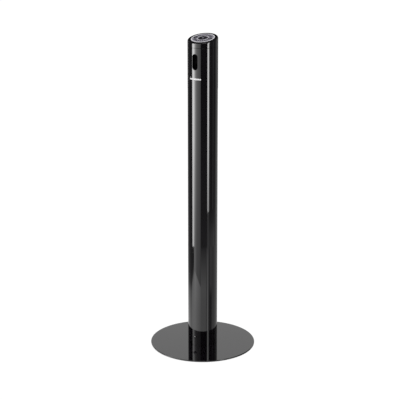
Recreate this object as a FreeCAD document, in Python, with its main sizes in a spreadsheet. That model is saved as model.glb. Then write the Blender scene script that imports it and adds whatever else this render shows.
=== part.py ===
import FreeCAD, Part
import math
import os

import Sketcher

# Ashtray bin post: a slim steel tube with a slanted cap on a round foot plate, with a lift-out canister inside.
# Millimetres. +Z is up, the origin is the centre of the underside, the slot faces -Y and the slanted face rises to +Y.

V = FreeCAD.Vector
doc = FreeCAD.newDocument("AshtrayPost")
sheet = doc.addObject("Spreadsheet::Sheet", "Sheet")
sheet.Label = "Sheet"

# ------------------------------------------------------------------ driving dimensions
DIMENSIONS = [
    # foot
    ("pad_outer", 330.0, "anti-slip ring, outer diameter"),
    ("pad_inner", 290.0, "anti-slip ring, inner diameter"),
    ("pad_thick", 1.5, "anti-slip ring, thickness"),
    ("plate_dia", 340.0, "foot plate, diameter"),
    ("plate_thick", 4.0, "foot plate, thickness"),
    ("plate_round", 1.2, "foot plate, rounding of the top edge"),
    ("foot_outer", 94.0, "foot ring, outer diameter"),
    ("foot_inner", 82.0, "foot ring, inner diameter"),
    ("foot_thick", 2.0, "foot ring, thickness"),
    ("flange_dia", 80.0, "socket flange, diameter"),
    ("flange_thick", 5.0, "socket flange, thickness"),
    ("screw_circle", 50.0, "flange screws, pitch circle diameter"),
    ("screw_dia", 6.0, "flange screws, thread diameter"),
    ("screw_head", 12.0, "flange screws, head diameter"),
    ("screw_len", 8.0, "flange screws, overall length"),
    ("screw_key", 4.0, "flange screws, width across the socket's flats"),
    ("key_depth", 2.0, "depth of the socket in flange and lock screws"),
    ("spigot_dia", 76.0, "socket tube, outer diameter"),
    ("spigot_wall", 3.0, "socket tube, wall"),
    ("spigot_len", 50.0, "socket tube, height"),
    ("sleeve_dia", 91.2, "guide sleeve, outer diameter"),
    ("sleeve_len", 46.0, "guide sleeve, height"),
    ("sleeve_gap", 1.5, "guide sleeve, height of its foot over the flange"),
    ("notch_wide", 14.0, "guide sleeve, width of the key notch"),
    ("notch_foot", 12.0, "guide sleeve, height of the notch's floor over the sleeve's foot"),
    # post
    ("tube_dia", 95.0, "post, outer diameter"),
    ("tube_wall", 1.5, "post, wall"),
    ("tube_len", 978.0, "post, length from foot ring to cap seam"),
    ("slot_wide", 18.5, "slot, width"),
    ("slot_tall", 50.0, "slot, height"),
    ("slot_level", 942.2, "slot, height of its centre above the floor"),
    ("lock_level", 33.2, "lock screw, height above the floor"),
    ("lock_hole", 6.6, "hole for the lock screw in the post"),
    ("boss_dia", 12.0, "lock boss, diameter"),
    ("boss_bore", 6.1, "lock boss, bore"),
    ("boss_reach", 38.5, "lock boss, distance of its inner face from the axis"),
    ("lock_dia", 6.0, "lock screw, thread diameter"),
    ("lock_len", 10.3, "lock screw, length under the head"),
    ("lock_head", 10.5, "lock screw, head diameter"),
    ("lock_high", 3.3, "lock screw, head height"),
    ("lock_key", 4.0, "lock screw, width across the socket's flats"),
    ("washer_dia", 12.0, "lock washer, outer diameter"),
    ("washer_hole", 6.4, "lock washer, hole"),
    ("washer_thick", 1.0, "lock washer, thickness"),
    ("label_level", 889.0, "label, height of its centre above the floor"),
    ("label_chord", 39.8, "label, width across"),
    ("label_tall", 5.0, "label, height"),
    ("label_thick", 0.3, "label, thickness"),
    # cap
    ("face_level", 1010.6, "slanted face, height above the floor on the axis"),
    ("slant", 12.0, "slanted face, angle to the horizontal in degrees"),
    ("cap_round", 4.5, "cap, rounding of the slanted edge"),
    ("cap_chamfer", 0.5, "cap, chamfer at the seam"),
    ("cap_roof", 4.5, "cap, thickness of the slanted roof"),
    ("cap_bore", 82.0, "cap, diameter of the hollow"),
    ("skirt_dia", 91.6, "cap skirt, outer diameter"),
    ("skirt_len", 15.5, "cap skirt, length"),
    ("recess_dia", 76.0, "recess for the disc, diameter"),
    ("recess_deep", 1.5, "recess for the disc, depth"),
    ("disc_dia", 75.4, "printed disc, diameter"),
    ("disc_thick", 1.4, "printed disc, thickness"),
    ("disc_round", 0.3, "printed disc, rounding of its edge"),
    ("seal_wire", 2.0, "cap seal, section diameter"),
    ("seal_drop", 10.5, "cap seal, distance below the seam"),
    ("grub_dia", 5.0, "grub screws, diameter"),
    ("grub_len", 6.0, "grub screws, length"),
    ("grub_key", 2.5, "grub screws, width across the socket's flats"),
    ("grub_inset", 0.3, "grub screws, outer end below the post's surface"),
    ("grub_drop", 5.0, "grub screws, distance below the seam"),
    ("grub_hole", 5.4, "grub screws, hole in the post"),
    ("grub_swing", 30.0, "grub screws, angle to each side of straight back in degrees"),
    # inside of the post
    ("baffle_back", 20.0, "baffle, distance of its front from the axis"),
    ("baffle_thick", 1.2, "baffle, thickness"),
    ("baffle_foot", 912.0, "baffle, lower edge above the floor"),
    ("baffle_tall", 56.0, "baffle, height"),
    ("funnel_top", 900.0, "funnel, rim above the floor"),
    ("funnel_rim", 12.0, "funnel, height of the straight rim"),
    ("funnel_cone", 40.0, "funnel, height of the cone"),
    ("funnel_spout", 10.0, "funnel, height of the spout"),
    ("funnel_wall", 1.2, "funnel, wall"),
    ("throat_dia", 48.0, "funnel, outer diameter of the spout"),
    # canister
    ("can_dia", 68.0, "canister, outer diameter"),
    ("can_wall", 0.8, "canister, wall"),
    ("can_tall", 690.0, "canister, height"),
    ("can_floor", 1.2, "canister, floor thickness"),
    ("band_tall", 12.0, "rim band, height"),
    ("band_thick", 1.2, "rim band, thickness"),
    ("ear_wide", 14.0, "ears, width"),
    ("ear_thick", 1.5, "ears, thickness"),
    ("ear_drop", 22.0, "ears, length below the pivot"),
    ("ear_hole", 4.1, "ears, pivot hole"),
    ("pivot_over", 2.2, "bail pivot, height above the canister's mouth"),
    ("rivet_drop", 12.5, "rivets, distance below the canister's mouth"),
    ("rivet_dia", 4.0, "rivets, shank diameter"),
    ("rivet_head", 7.0, "rivets, head diameter"),
    ("rivet_high", 1.2, "rivets, head height"),
    ("wire_dia", 4.0, "bail, wire diameter"),
    ("hoop_rad", 30.0, "bail, radius of the hoop's centre line"),
    ("bend_rad", 3.0, "bail, radius of the end bends"),
    ("pin_end", 37.6, "bail, distance of the pin ends from the axis"),
]


class Dim:
    """A length that knows both its number and the spreadsheet expression it comes from."""

    def __init__(self, number, text):
        self.number, self.text = float(number), text

    @staticmethod
    def of(other):
        return other if isinstance(other, Dim) else Dim(other, repr(float(other)))

    def __add__(self, other):
        o = Dim.of(other)
        return Dim(self.number + o.number, "(%s + %s)" % (self.text, o.text))

    def __sub__(self, other):
        o = Dim.of(other)
        return Dim(self.number - o.number, "(%s - %s)" % (self.text, o.text))

    def __mul__(self, other):
        o = Dim.of(other)
        return Dim(self.number * o.number, "(%s * %s)" % (self.text, o.text))

    def __truediv__(self, other):
        o = Dim.of(other)
        return Dim(self.number / o.number, "(%s / %s)" % (self.text, o.text))

    def __neg__(self):
        return Dim(-self.number, "(0 - %s)" % self.text)


class Sizes:
    pass


D = Sizes()
sheet.set("A1", "what")
sheet.set("B1", "value")
for row, (alias, value, note) in enumerate(DIMENSIONS, start=2):
    sheet.set("A%d" % row, note)
    sheet.set("B%d" % row, repr(value))
    sheet.setAlias("B%d" % row, alias)
    setattr(D, alias, Dim(value, "Sheet.%s" % alias))
doc.recompute()

# levels above the floor that follow from the sizes
plate_foot = D.pad_thick
plate_top = D.pad_thick + D.plate_thick
tube_foot = plate_top + D.foot_thick
flange_top = plate_top + D.flange_thick
seam = tube_foot + D.tube_len
tube_rad = D.tube_dia / 2
bore_rad = D.tube_dia / 2 - D.tube_wall
can_mouth = flange_top + D.can_tall
pivot_level = can_mouth + D.pivot_over

PARTS = []


def bind(obj, prop, dim):
    obj.setExpression(prop, Dim.of(dim).text)


def lift(obj, dim):
    """Puts the object's own frame at a height above the floor."""
    obj.Placement = FreeCAD.Placement(V(0, 0, Dim.of(dim).number), obj.Placement.Rotation)
    bind(obj, "Placement.Base.z", dim)


def keep(obj, label):
    obj.Label = label
    PARTS.append(obj)
    return obj


# ------------------------------------------------------------------ sketch helpers
def new_body(name):
    body = doc.addObject("PartDesign::Body", name + "_body")
    return body


def plane_of(body, role):
    for feature in body.Origin.OriginFeatures:
        if feature.Role == role:
            return feature
    raise RuntimeError("no plane " + role)


def new_sketch(body, role, name, offset=None):
    sketch = body.newObject("Sketcher::SketchObject", name)
    sketch.AttachmentSupport = [(plane_of(body, role), "")]
    sketch.MapMode = "FlatFace"
    if offset is not None:
        sketch.AttachmentOffset = offset
    return sketch


def pin_value(sketch, kind, first, second, value):
    """One DistanceX or DistanceY from the sketch's origin, bound to the sheet, or a lock on the axis when it is zero."""
    value = Dim.of(value)
    if abs(value.number) < 1e-9:
        axis = -2 if kind == "DistanceX" else -1
        sketch.addConstraint(Sketcher.Constraint("PointOnObject", first, second, axis))
        return
    if value.number > 0:
        at = sketch.addConstraint(Sketcher.Constraint(kind, -1, 1, first, second, value.number))
        sketch.setExpression("Constraints[%d]" % at, value.text)
    else:
        at = sketch.addConstraint(Sketcher.Constraint(kind, first, second, -1, 1, -value.number))
        sketch.setExpression("Constraints[%d]" % at, (-value).text)


def pin_point(sketch, geometry, end, x, y):
    pin_value(sketch, "DistanceX", geometry, end, x)
    pin_value(sketch, "DistanceY", geometry, end, y)


def draw_loop(sketch, points):
    """A closed run of straight lines through points whose coordinates are bound to the sheet."""
    n = len(points)
    base = sketch.GeometryCount
    spots = [V(Dim.of(x).number, Dim.of(y).number, 0) for x, y in points]
    for i in range(n):
        sketch.addGeometry(Part.LineSegment(spots[i], spots[(i + 1) % n]), False)
    for i in range(n):
        sketch.addConstraint(Sketcher.Constraint("Coincident", base + i, 2, base + (i + 1) % n, 1))
    for i, (x, y) in enumerate(points):
        pin_point(sketch, base + i, 1, x, y)


def draw_circle(sketch, radius, x=0, y=0):
    g = sketch.addGeometry(
        Part.Circle(V(Dim.of(x).number, Dim.of(y).number, 0), V(0, 0, 1), radius.number), False
    )
    at = sketch.addConstraint(Sketcher.Constraint("Radius", g, radius.number))
    sketch.setExpression("Constraints[%d]" % at, radius.text)
    if abs(Dim.of(x).number) < 1e-9 and abs(Dim.of(y).number) < 1e-9:
        sketch.addConstraint(Sketcher.Constraint("Coincident", g, 3, -1, 1))
    else:
        pin_point(sketch, g, 3, x, y)
    return g


def draw_hexagon(sketch, flats):
    """A regular hexagon round the sketch's origin, held by its circumscribed construction circle."""
    r = flats.number / math.sqrt(3)
    spots = [V(r * math.cos(math.radians(60 * i)), r * math.sin(math.radians(60 * i)), 0) for i in range(6)]
    for i in range(6):
        sketch.addGeometry(Part.LineSegment(spots[i], spots[(i + 1) % 6]), False)
    circle = sketch.addGeometry(Part.Circle(V(0, 0, 0), V(0, 0, 1), r), True)
    sketch.addConstraint(Sketcher.Constraint("Coincident", circle, 3, -1, 1))
    for i in range(6):
        sketch.addConstraint(Sketcher.Constraint("Coincident", i, 2, (i + 1) % 6, 1))
        sketch.addConstraint(Sketcher.Constraint("PointOnObject", i, 1, circle))
    for i in range(1, 6):
        sketch.addConstraint(Sketcher.Constraint("Equal", 0, i))
    sketch.addConstraint(Sketcher.Constraint("PointOnObject", 0, 1, -1))
    at = sketch.addConstraint(Sketcher.Constraint("Radius", circle, r))
    sketch.setExpression("Constraints[%d]" % at, "%s / sqrt(3)" % flats.text)


def pad(body, sketch, length, name, down=False):
    feature = body.newObject("PartDesign::Pad", name)
    feature.Profile = sketch
    feature.Length = length.number
    bind(feature, "Length", length)
    feature.Reversed = down
    doc.recompute()
    return feature


def pocket(body, sketch, length, name, along_normal=False, both=False):
    """Cuts against the sketch's normal, along it, or to both sides, and makes sure that something was removed."""
    before = body.Shape.Volume
    feature = body.newObject("PartDesign::Pocket", name)
    feature.Profile = sketch
    feature.Length = Dim.of(length).number
    bind(feature, "Length", length)
    if both:
        feature.Midplane = True
    feature.Reversed = along_normal
    doc.recompute()
    if not body.Shape.Volume < before - 1e-3:
        raise RuntimeError(name + " removed nothing")
    return feature


def revolve(body, sketch, name):
    feature = body.newObject("PartDesign::Revolution", name)
    feature.Profile = sketch
    feature.ReferenceAxis = (sketch, ["V_Axis"])
    feature.Angle = 360.0
    doc.recompute()
    return feature


def edges_where(shape, test):
    return ["Edge%d" % (i + 1) for i, edge in enumerate(shape.Edges) if test(edge)]


def round_edges(body, base, radius, name, test):
    names = edges_where(base.Shape, test)
    if not names:
        raise RuntimeError(name + " found no edge")
    feature = body.newObject("PartDesign::Fillet", name)
    feature.Base = (base, names)
    feature.Radius = radius.number
    bind(feature, "Radius", radius)
    doc.recompute()
    return feature


def ring_at(edge, z, radius):
    """True for a full circle round the Z axis at height z."""
    curve = edge.Curve
    if not isinstance(curve, Part.Circle):
        return False
    c = curve.Center
    return abs(c.x) < 1e-6 and abs(c.y) < 1e-6 and abs(c.z - z) < 1e-6 and abs(curve.Radius - radius) < 1e-6


def staves(body, prefix, bottom, spans):
    """The wall of body as lengthwise staves that meet face to face: one common with a sector per (first angle, swing, low, high)."""
    out = []
    for i, (start, swing, low, high) in enumerate(spans):
        sector = doc.addObject("Part::Cylinder", "%s_sector%d" % (prefix, i))
        bind(sector, "Radius", D.tube_dia)
        bind(sector, "Height", high - low)
        sector.Angle = swing
        sector.Placement = FreeCAD.Placement(V(0, 0, 0), FreeCAD.Rotation(V(0, 0, 1), start))
        lift(sector, low)
        stave = doc.addObject("Part::Common", "%s_stave%d" % (prefix, i))
        stave.Base = body
        stave.Tool = sector
        out.append(stave)
    doc.recompute()
    whole = sum(s.Shape.Volume for s in out)
    if abs(whole - body.Shape.Volume) > 1e-3 * body.Shape.Volume:
        raise RuntimeError("%s: the staves hold %.1f of %.1f" % (prefix, whole, body.Shape.Volume))
    group = doc.addObject("Part::Compound", prefix + "_staves")
    group.Links = out
    doc.recompute()
    return group


# ------------------------------------------------------------------ foot
# rubber ring under the plate
body = new_body("anti_slip_ring")
sketch = new_sketch(body, "XY_Plane", "pad_outline")
draw_circle(sketch, D.pad_outer / 2)
draw_circle(sketch, D.pad_inner / 2)
pad(body, sketch, D.pad_thick, "pad_ring")
keep(body, "anti_slip_ring")

# round plate with a rounded top edge and three countersunk holes from below
body = new_body("base_plate")
sketch = new_sketch(body, "XY_Plane", "plate_outline")
draw_circle(sketch, D.plate_dia / 2)
disc = pad(body, sketch, D.plate_thick, "plate_disc")
sketch = new_sketch(body, "YZ_Plane", "plate_countersink")
hole_x = D.screw_circle / 2
cone_high = (D.screw_head - D.screw_dia) / 2
draw_loop(
    sketch,
    [
        (hole_x, 0),
        (hole_x + D.screw_head / 2, 0),
        (hole_x + D.screw_dia / 2, cone_high),
        (hole_x + D.screw_dia / 2, D.plate_thick),
        (hole_x, D.plate_thick),
    ],
)
axis_line = sketch.addGeometry(
    Part.LineSegment(V(hole_x.number, 0, 0), V(hole_x.number, D.plate_thick.number, 0)), True
)
sketch.addConstraint(Sketcher.Constraint("Coincident", axis_line, 1, 0, 1))
sketch.addConstraint(Sketcher.Constraint("Coincident", axis_line, 2, 4, 1))
doc.recompute()
before = body.Shape.Volume
groove = body.newObject("PartDesign::Groove", "plate_screw_hole")
groove.Profile = sketch
groove.ReferenceAxis = (sketch, ["Axis0"])
groove.Angle = 360.0
doc.recompute()
if not body.Shape.Volume < before - 1:
    raise RuntimeError("plate_screw_hole removed nothing")
pattern = body.newObject("PartDesign::PolarPattern", "plate_screw_holes")
pattern.Originals = [groove]
pattern.Axis = (disc.Profile[0], ["N_Axis"])
pattern.Angle = 360.0
pattern.Occurrences = 3
body.Tip = pattern
doc.recompute()
rim = round_edges(
    body,
    pattern,
    D.plate_round,
    "plate_edge",
    lambda e: ring_at(e, D.plate_thick.number, D.plate_dia.number / 2),
)
body.Tip = rim
lift(body, plate_foot)
keep(body, "base_plate")

# thin ring that the post stands on
body = new_body("foot_ring")
sketch = new_sketch(body, "XY_Plane", "foot_outline")
draw_circle(sketch, D.foot_outer / 2)
draw_circle(sketch, D.foot_inner / 2)
pad(body, sketch, D.foot_thick, "foot_disc")
lift(body, plate_top)
keep(body, "foot_ring")

# flange with three tapped holes
body = new_body("socket_flange")
sketch = new_sketch(body, "XY_Plane", "flange_outline")
draw_circle(sketch, D.flange_dia / 2)
disc = pad(body, sketch, D.flange_thick, "flange_disc")
sketch = new_sketch(body, "XY_Plane", "flange_hole")
draw_circle(sketch, D.screw_dia / 2, 0, hole_x)
cut = pocket(body, sketch, D.flange_thick, "flange_tapped_hole", along_normal=True)
pattern = body.newObject("PartDesign::PolarPattern", "flange_tapped_holes")
pattern.Originals = [cut]
pattern.Axis = (disc.Profile[0], ["N_Axis"])
pattern.Angle = 360.0
pattern.Occurrences = 3
body.Tip = pattern
doc.recompute()
lift(body, plate_top)
keep(body, "socket_flange")

# one countersunk screw, head down, and its three places
master = new_body("flange_screw")
sketch = new_sketch(master, "XZ_Plane", "screw_profile")
draw_loop(
    sketch,
    [
        (0, 0),
        (D.screw_head / 2, 0),
        (D.screw_dia / 2, cone_high),
        (D.screw_dia / 2, D.screw_len),
        (0, D.screw_len),
    ],
)
revolve(master, sketch, "screw_turned")
sketch = new_sketch(master, "XY_Plane", "screw_socket")
draw_hexagon(sketch, D.screw_key)
pocket(master, sketch, D.key_depth, "screw_socket_cut", along_normal=True)
master.Label = "flange_screw_pattern"
places = []
for i in range(3):
    link = doc.addObject("App::Link", "flange_screw_place%d" % i)
    link.LinkedObject = master
    around = 90 + 120 * i
    a = math.radians(around)
    link.LinkPlacement = FreeCAD.Placement(
        V(hole_x.number * math.cos(a), hole_x.number * math.sin(a), plate_foot.number),
        FreeCAD.Rotation(V(0, 0, 1), around),
    )
    link.setExpression("LinkPlacement.Base.x", "%s * cos(%d deg)" % (hole_x.text, around))
    link.setExpression("LinkPlacement.Base.y", "%s * sin(%d deg)" % (hole_x.text, around))
    link.setExpression("LinkPlacement.Base.z", plate_foot.text)
    places.append(link)
group = doc.addObject("Part::Compound", "flange_screw_group")
group.Links = places
keep(group, "flange_screws")

# short tube that the post slips over
body = new_body("socket_tube")
sketch = new_sketch(body, "XY_Plane", "spigot_outline")
draw_circle(sketch, D.spigot_dia / 2)
draw_circle(sketch, D.spigot_dia / 2 - D.spigot_wall)
pad(body, sketch, D.spigot_len, "spigot_wall_pad")
lift(body, flange_top)
keep(body, "socket_tube")

# plastic sleeve on it, with an open notch towards -Y that lets the lock boss pass
body = new_body("guide_sleeve")
sketch = new_sketch(body, "XY_Plane", "sleeve_outline")
draw_circle(sketch, D.sleeve_dia / 2)
draw_circle(sketch, D.spigot_dia / 2)
pad(body, sketch, D.sleeve_len, "sleeve_ring")
sketch = new_sketch(body, "XZ_Plane", "sleeve_notch")
draw_loop(
    sketch,
    [
        (-(D.notch_wide / 2), D.notch_foot),
        (D.notch_wide / 2, D.notch_foot),
        (D.notch_wide / 2, D.sleeve_len + 1),
        (-(D.notch_wide / 2), D.sleeve_len + 1),
    ],
)
pocket(body, sketch, D.sleeve_dia / 2 + 2, "sleeve_notch_cut", along_normal=True)
lift(body, flange_top + D.sleeve_gap)
keep(body, "guide_sleeve")

# ------------------------------------------------------------------ post
body = new_body("outer_tube")
sketch = new_sketch(body, "XY_Plane", "tube_outline")
draw_circle(sketch, tube_rad)
draw_circle(sketch, bore_rad)
pad(body, sketch, D.tube_len, "tube_wall_pad")

# upright slot with round ends, cut through the -Y wall only
sketch = new_sketch(body, "XZ_Plane", "slot_outline")
half = D.slot_wide / 2
slot_mid = D.slot_level - tube_foot
high = slot_mid + (D.slot_tall / 2 - half)
low = slot_mid - (D.slot_tall / 2 - half)
r, zh, zl = half.number, high.number, low.number
sketch.addGeometry(Part.LineSegment(V(-r, zl, 0), V(-r, zh, 0)), False)
sketch.addGeometry(Part.ArcOfCircle(Part.Circle(V(0, zh, 0), V(0, 0, 1), r), 0, math.pi), False)
sketch.addGeometry(Part.LineSegment(V(r, zh, 0), V(r, zl, 0)), False)
sketch.addGeometry(Part.ArcOfCircle(Part.Circle(V(0, zl, 0), V(0, 0, 1), r), math.pi, 2 * math.pi), False)
sketch.addConstraint(Sketcher.Constraint("Tangent", 0, 2, 1, 2))
sketch.addConstraint(Sketcher.Constraint("Tangent", 1, 1, 2, 1))
sketch.addConstraint(Sketcher.Constraint("Tangent", 2, 2, 3, 2))
sketch.addConstraint(Sketcher.Constraint("Tangent", 3, 1, 0, 1))
sketch.addConstraint(Sketcher.Constraint("Vertical", 0))
pin_point(sketch, 1, 3, 0, high)
pin_point(sketch, 3, 3, 0, low)
at = sketch.addConstraint(Sketcher.Constraint("Radius", 1, r))
sketch.setExpression("Constraints[%d]" % at, half.text)
pocket(body, sketch, tube_rad + 5, "slot_cut", along_normal=True)

# hole for the lock screw, in line with the slot
sketch = new_sketch(body, "XZ_Plane", "lock_hole_outline")
draw_circle(sketch, D.lock_hole / 2, 0, D.lock_level - tube_foot)
pocket(body, sketch, tube_rad + 5, "lock_hole_cut", along_normal=True)

# two holes for the cap's grub screws, to each side of straight back
for side, turn in (("left", -1), ("right", 1)):
    offset = FreeCAD.Placement(V(0, 0, 0), FreeCAD.Rotation(V(0, 1, 0), turn * D.grub_swing.number))
    sketch = new_sketch(body, "XZ_Plane", "grub_hole_" + side, offset)
    draw_circle(sketch, D.grub_hole / 2, 0, D.tube_len - D.grub_drop)
    pocket(body, sketch, tube_rad + 5, "grub_hole_%s_cut" % side)
lift(body, tube_foot)
# twelve staves of 30 degrees; the front one, at -Y, is parted again where the slot's straight sides begin and end
tube_top = tube_foot + D.tube_len
straight_low = tube_foot + low
straight_high = tube_foot + high
spans = [(start, 30.0, tube_foot, tube_top) for start in range(-75, 255, 30)]
spans += [
    (-105.0, 30.0, tube_foot, straight_low),
    (-105.0, 15.0, straight_low, straight_high),
    (-90.0, 15.0, straight_low, straight_high),
    (-105.0, 30.0, straight_high, tube_top),
]
keep(staves(body, "outer_tube", tube_foot, spans), "outer_tube")

# threaded boss inside the wall for the lock screw: a round bar from the wall inwards, bored through
bar = doc.addObject("Part::Cylinder", "boss_bar")
bind(bar, "Radius", D.boss_dia / 2)
bind(bar, "Height", tube_rad - D.boss_reach)
bar.Placement = FreeCAD.Placement(
    V(0, -D.boss_reach.number, D.lock_level.number), FreeCAD.Rotation(V(1, 0, 0), 90)
)
bind(bar, "Placement.Base.y", -D.boss_reach)
bind(bar, "Placement.Base.z", D.lock_level)
inside = doc.addObject("Part::Cylinder", "boss_limit")
bind(inside, "Radius", bore_rad)
bind(inside, "Height", D.lock_level * 2)
trimmed = doc.addObject("Part::Common", "boss_trimmed")
trimmed.Base, trimmed.Tool = bar, inside
drill = doc.addObject("Part::Cylinder", "boss_drill")
bind(drill, "Radius", D.boss_bore / 2)
bind(drill, "Height", D.tube_dia / 2)
drill.Placement = FreeCAD.Placement(V(0, -30, D.lock_level.number), FreeCAD.Rotation(V(1, 0, 0), 90))
bind(drill, "Placement.Base.z", D.lock_level)
boss = doc.addObject("Part::Cut", "boss_bored")
boss.Base, boss.Tool = trimmed, drill
keep(boss, "lock_boss")

# washer against the post, turned about its own Z and then laid towards -Y
body = new_body("lock_washer")
sketch = new_sketch(body, "XY_Plane", "washer_outline")
draw_circle(sketch, D.washer_dia / 2)
draw_circle(sketch, D.washer_hole / 2)
pad(body, sketch, D.washer_thick, "washer_disc")
body.Placement = FreeCAD.Placement(
    V(0, -tube_rad.number, D.lock_level.number), FreeCAD.Rotation(V(1, 0, 0), 90)
)
bind(body, "Placement.Base.y", -tube_rad)
bind(body, "Placement.Base.z", D.lock_level)
keep(body, "lock_washer")

# button-head screw: its own Z points out of the post, the shank runs inwards from the head's underside
body = new_body("lock_screw")
sketch = new_sketch(body, "XZ_Plane", "lock_profile")
draw_loop(
    sketch,
    [
        (0, -D.lock_len),
        (D.lock_dia / 2 - 0.6, -D.lock_len),
        (D.lock_dia / 2, -D.lock_len + 0.6),
        (D.lock_dia / 2, 0),
        (D.lock_head / 2, 0),
        (D.lock_head / 2, D.lock_high * 0.35),
        (D.lock_head / 2 * 0.62, D.lock_high),
        (0, D.lock_high),
    ],
)
turned = revolve(body, sketch, "lock_turned")
rim = round_edges(
    body,
    turned,
    Dim(1.2, "1.2"),
    "lock_dome",
    lambda e: ring_at(e, D.lock_high.number * 0.35, D.lock_head.number / 2),
)
sketch = new_sketch(
    body, "XY_Plane", "lock_socket", FreeCAD.Placement(V(0, 0, D.lock_high.number), FreeCAD.Rotation())
)
sketch.setExpression("AttachmentOffset.Base.z", D.lock_high.text)
draw_hexagon(sketch, D.lock_key)
pocket(body, sketch, D.key_depth, "lock_socket_cut")
body.Placement = FreeCAD.Placement(
    V(0, -(tube_rad.number + D.washer_thick.number), D.lock_level.number), FreeCAD.Rotation(V(1, 0, 0), 90)
)
bind(body, "Placement.Base.y", -(tube_rad + D.washer_thick))
bind(body, "Placement.Base.z", D.lock_level)
keep(body, "lock_screw")

# thin strip on the outside of the wall, under the slot
skin = doc.addObject("Part::Cylinder", "label_skin")
bind(skin, "Radius", tube_rad + D.label_thick)
bind(skin, "Height", D.label_tall)
lift(skin, D.label_level - D.label_tall / 2)
core = doc.addObject("Part::Cylinder", "label_core")
bind(core, "Radius", tube_rad)
bind(core, "Height", D.label_tall)
lift(core, D.label_level - D.label_tall / 2)
hoop = doc.addObject("Part::Cut", "label_hoop")
hoop.Base, hoop.Tool = skin, core
window = doc.addObject("Part::Box", "label_window")
bind(window, "Length", D.label_chord)
bind(window, "Width", tube_rad + 5)
bind(window, "Height", D.label_tall)
window.Placement = FreeCAD.Placement(V(0, 0, 0), FreeCAD.Rotation())
bind(window, "Placement.Base.x", -(D.label_chord / 2))
bind(window, "Placement.Base.y", -(tube_rad + 5))
bind(window, "Placement.Base.z", D.label_level - D.label_tall / 2)
label = doc.addObject("Part::Common", "label_strip")
label.Base, label.Tool = hoop, window
keep(label, "front_label")

# ------------------------------------------------------------------ cap
def slanted_box(name, drop):
    """A large block whose underside is the slanted plane, or a plane a little below it."""
    block = doc.addObject("Part::Box", name)
    bind(block, "Length", D.tube_dia * 2)
    bind(block, "Width", D.tube_dia * 2)
    bind(block, "Height", D.tube_dia)
    turn = FreeCAD.Rotation(V(1, 0, 0), D.slant.number)
    block.Placement = FreeCAD.Placement(V(0, 0, 0), turn)
    # the block's own corner, moved so that the slanted plane meets the axis at the face's height
    bind(block, "Placement.Base.x", -D.tube_dia)
    side, height, s = D.tube_dia.text, D.face_level.text, D.slant.text
    block.setExpression(
        "Placement.Base.y", "0 - %s * cos(%s * 1 deg) + %s * sin(%s * 1 deg)" % (side, s, Dim.of(drop).text, s)
    )
    block.setExpression(
        "Placement.Base.z",
        "%s - %s * sin(%s * 1 deg) - %s * cos(%s * 1 deg)" % (height, side, s, Dim.of(drop).text, s),
    )
    bind(block, "Placement.Rotation.Angle", D.slant)
    return block


outer = doc.addObject("Part::Cylinder", "cap_blank")
bind(outer, "Radius", tube_rad)
bind(outer, "Height", D.tube_dia)
lift(outer, seam)
over = slanted_box("cap_over", 0)
doc.recompute()
sliced = doc.addObject("Part::Cut", "cap_sliced")
sliced.Base, sliced.Tool = outer, over
doc.recompute()
slope = math.tan(math.radians(D.slant.number))


def on_slant(edge):
    """True for the closed edge that runs round the slanted face."""
    if len(edge.Vertexes) > 2 or edge.Length < 2.8 * D.tube_dia.number:
        return False
    spots = edge.discretize(12)
    return all(abs(p.z - (D.face_level.number + slope * p.y)) < 1e-4 for p in spots)


def on_seam(edge):
    return ring_at(edge, seam.number, tube_rad.number)


rounded = doc.addObject("Part::Fillet", "cap_rounded")
rounded.Base = sliced
numbers = [i + 1 for i, e in enumerate(sliced.Shape.Edges) if on_slant(e)]
if not numbers:
    raise RuntimeError("no slanted edge found")
rounded.Edges = [(n, D.cap_round.number, D.cap_round.number) for n in numbers]
doc.recompute()
eased = doc.addObject("Part::Chamfer", "cap_eased")
eased.Base = rounded
numbers = [i + 1 for i, e in enumerate(rounded.Shape.Edges) if on_seam(e)]
if not numbers:
    raise RuntimeError("no seam edge found")
eased.Edges = [(n, D.cap_chamfer.number, D.cap_chamfer.number) for n in numbers]
doc.recompute()
skirt = doc.addObject("Part::Cylinder", "cap_skirt")
bind(skirt, "Radius", D.skirt_dia / 2)
bind(skirt, "Height", D.skirt_len + D.cap_chamfer * 2)
lift(skirt, seam - D.skirt_len)
joined = doc.addObject("Part::Fuse", "cap_joined")
joined.Base, joined.Tool = eased, skirt
hollow = doc.addObject("Part::Cylinder", "cap_hollow")
bind(hollow, "Radius", D.cap_bore / 2)
bind(hollow, "Height", D.tube_dia)
lift(hollow, seam - D.skirt_len)
under = slanted_box("cap_under", D.cap_roof)
hollowed = doc.addObject("Part::Cut", "cap_hollow_slanted")
hollowed.Base, hollowed.Tool = hollow, under
shell = doc.addObject("Part::Cut", "cap_opened")
shell.Base, shell.Tool = joined, hollowed
recess = doc.addObject("Part::Cylinder", "cap_recess")
bind(recess, "Radius", D.recess_dia / 2)
bind(recess, "Height", D.tube_dia)
recess.Placement = FreeCAD.Placement(V(0, 0, 0), FreeCAD.Rotation(V(1, 0, 0), D.slant.number))
recess.setExpression("Placement.Base.y", "%s * sin(%s * 1 deg)" % (D.recess_deep.text, D.slant.text))
recess.setExpression(
    "Placement.Base.z", "%s - %s * cos(%s * 1 deg)" % (D.face_level.text, D.recess_deep.text, D.slant.text)
)
bind(recess, "Placement.Rotation.Angle", D.slant)
seated = doc.addObject("Part::Cut", "cap_seated")
seated.Base, seated.Tool = shell, recess
# the seal's half-round groove
seal_rad = bore_rad - D.seal_wire / 2
gland = doc.addObject("Part::Torus", "cap_gland")
bind(gland, "Radius1", seal_rad)
bind(gland, "Radius2", D.seal_wire / 2)
lift(gland, seam - D.seal_drop)
grooved = doc.addObject("Part::Cut", "cap_grooved")
grooved.Base, grooved.Tool = seated, gland
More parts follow.
